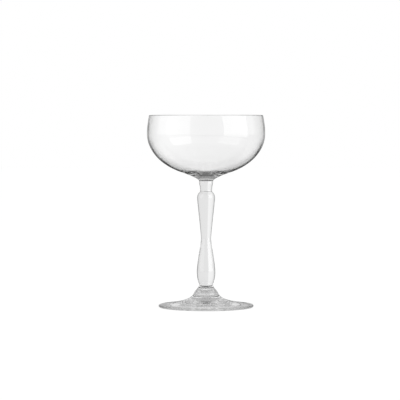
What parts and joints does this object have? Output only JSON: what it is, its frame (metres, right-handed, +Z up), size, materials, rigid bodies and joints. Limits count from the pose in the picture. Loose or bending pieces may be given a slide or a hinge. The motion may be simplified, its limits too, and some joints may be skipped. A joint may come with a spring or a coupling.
{
  "type": "coupe glass",
  "caption": "Clear stemmed coupe for cocktails or sparkling wine: a wide shallow bowl welded to a baluster stem and a round foot that stands on a flat ring.",
  "frame": {"origin": "middle of the ring under the foot that the glass stands on", "axes": "+Z up along the glass's own axis, from the foot to the lip; X and Y are any two directions across it, because the glass is round"},
  "size_m": [0.095, 0.095, 0.1546],
  "materials": {
    "blown_glass": "clear blown soda-lime glass, fire-polished lip",
    "pressed_glass": "clear pressed soda-lime glass, fire-polished"
  },
  "bodies": {
    "root": {"bowl": "blown_glass", "stem": "pressed_glass", "foot": "pressed_glass"}
  },
  "joints": []
}
